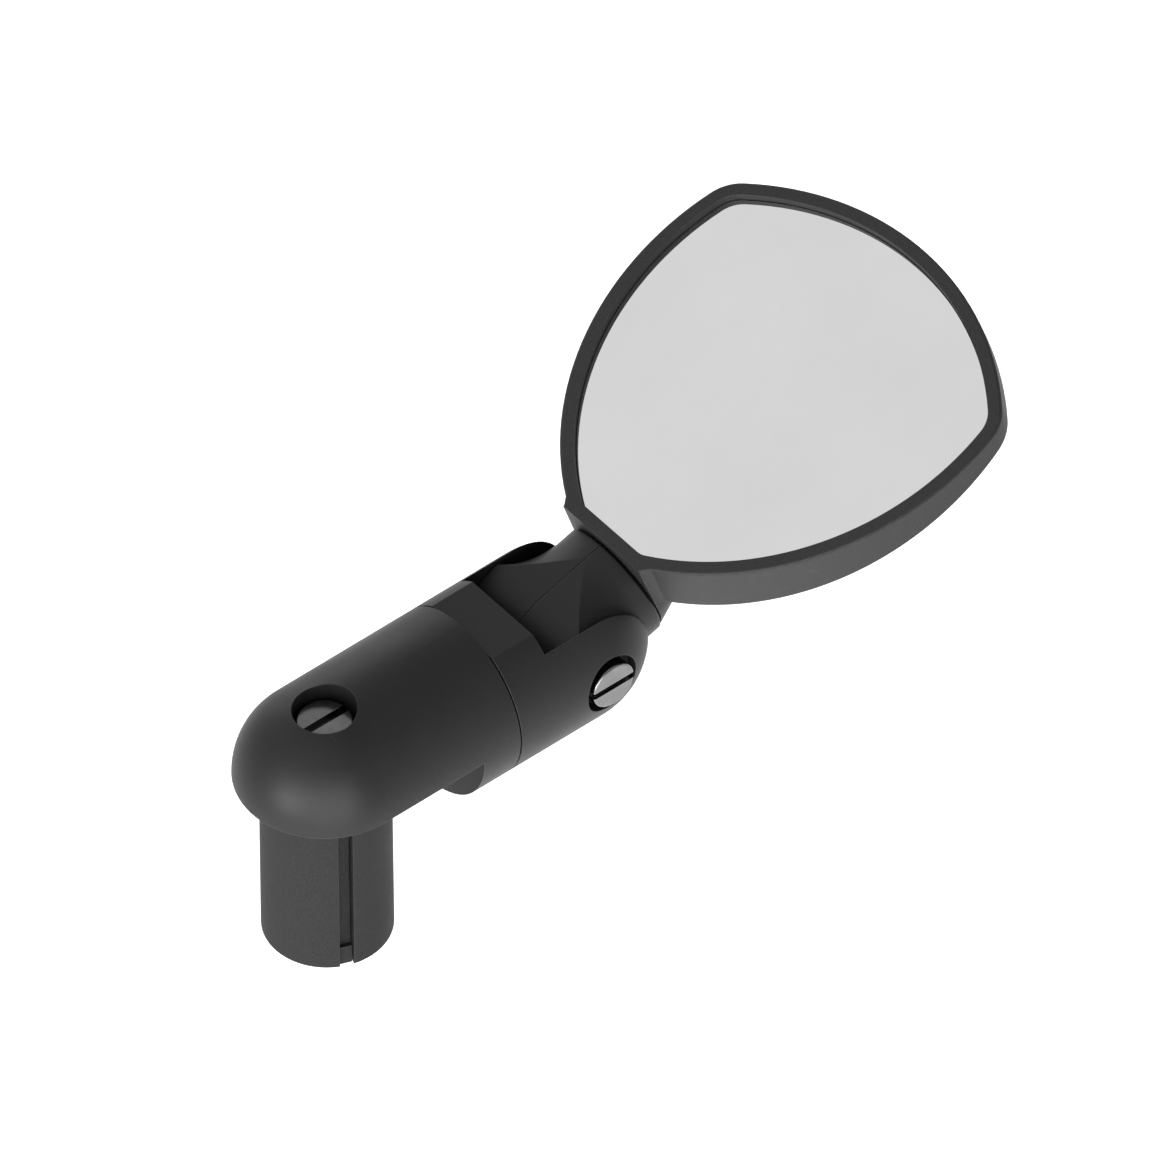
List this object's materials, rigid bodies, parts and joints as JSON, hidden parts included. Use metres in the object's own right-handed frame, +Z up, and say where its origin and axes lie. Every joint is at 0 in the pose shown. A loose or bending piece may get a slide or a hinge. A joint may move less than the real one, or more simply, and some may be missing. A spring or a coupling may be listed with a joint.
{
  "type": "bicycle bar-end mirror",
  "caption": "Bar-end bicycle mirror: an expanding plug, a bent arm with a turning swivel and a tilting knuckle, and a rounded triangular mirror head.",
  "frame": {"origin": "where the plug's axis crosses the arm's axis, in the flat seat that meets the end of the bar", "axes": "+X along the arm from the plug towards the mirror, +Z up out of the bar along the plug's axis, -Y the side with the slotted pivot screw"},
  "size_m": [0.1165, 0.0604, 0.0626],
  "materials": {
    "black_plastic": "satin moulded nylon, black",
    "plug_plastic": "fine-grained moulded nylon, dark grey",
    "housing_plastic": "fine-grained moulded plastic, dark grey",
    "mirror_face": "silvered flat glass",
    "zinc_steel": "zinc-plated steel",
    "turned_steel": "turned steel",
    "bush_brass": "drawn brass tube",
    "nylon": "dull washer nylon, dark",
    "ring_rubber": "soft black rubber",
    "pad_foam": "thin double-sided foam tape"
  },
  "bodies": {
    "elbow": {"elbow_body": "black_plastic", "plug_sleeve": "plug_plastic", "expander_washer": "zinc_steel", "swivel_nut": "zinc_steel", "swivel_bolt": "zinc_steel", "swivel_spring_washer": "zinc_steel", "seam_washer": "nylon"},
    "expander_screw": {"expander_screw": "zinc_steel"},
    "expander": {"expander_cone": "plug_plastic", "expander_nut": "zinc_steel"},
    "swivel": {"swivel_body": "black_plastic", "pivot_screw": "zinc_steel", "pivot_nut": "zinc_steel"},
    "knuckle": {"knuckle_near_half": "black_plastic", "knuckle_far_half": "black_plastic", "near_friction_washer": "nylon", "far_friction_washer": "nylon", "pivot_bush": "bush_brass"},
    "mirror_head": {"mirror_housing": "housing_plastic", "mirror_glass": "mirror_face", "adhesive_pad": "pad_foam", "stem": "turned_steel", "stem_o_ring": "ring_rubber"}
  },
  "joints": [
    {"name": "swivel_turn", "type": "hinge", "parent": "elbow", "child": "swivel", "pos_m": [0.02357, 0, 0], "axis": [1, 0, 0], "continuous": true},
    {"name": "knuckle_tilt", "type": "hinge", "parent": "swivel", "child": "knuckle", "pos_m": [0.0393, 0, 0], "axis": [0, -1, 0], "range_deg": [-105, 70]},
    {"name": "mirror_turn", "type": "hinge", "parent": "knuckle", "child": "mirror_head", "pos_m": [0.0393, 0, 0], "axis": [0.95, 0, 0.3123], "continuous": true},
    {"name": "expander_screw_turn", "type": "hinge", "parent": "elbow", "child": "expander_screw", "pos_m": [0, 0, 0], "axis": [0, 0, 1], "range_deg": [0, 1350]},
    {"name": "expander_cone_slide", "type": "slide", "parent": "elbow", "child": "expander", "axis": [0, 0, 1], "range_m": [-0.003, 0]}
  ],
  "couplings": [
    {"joint": "expander_screw_turn", "follows": "expander_cone_slide", "rad_per_m": -7854}
  ]
}
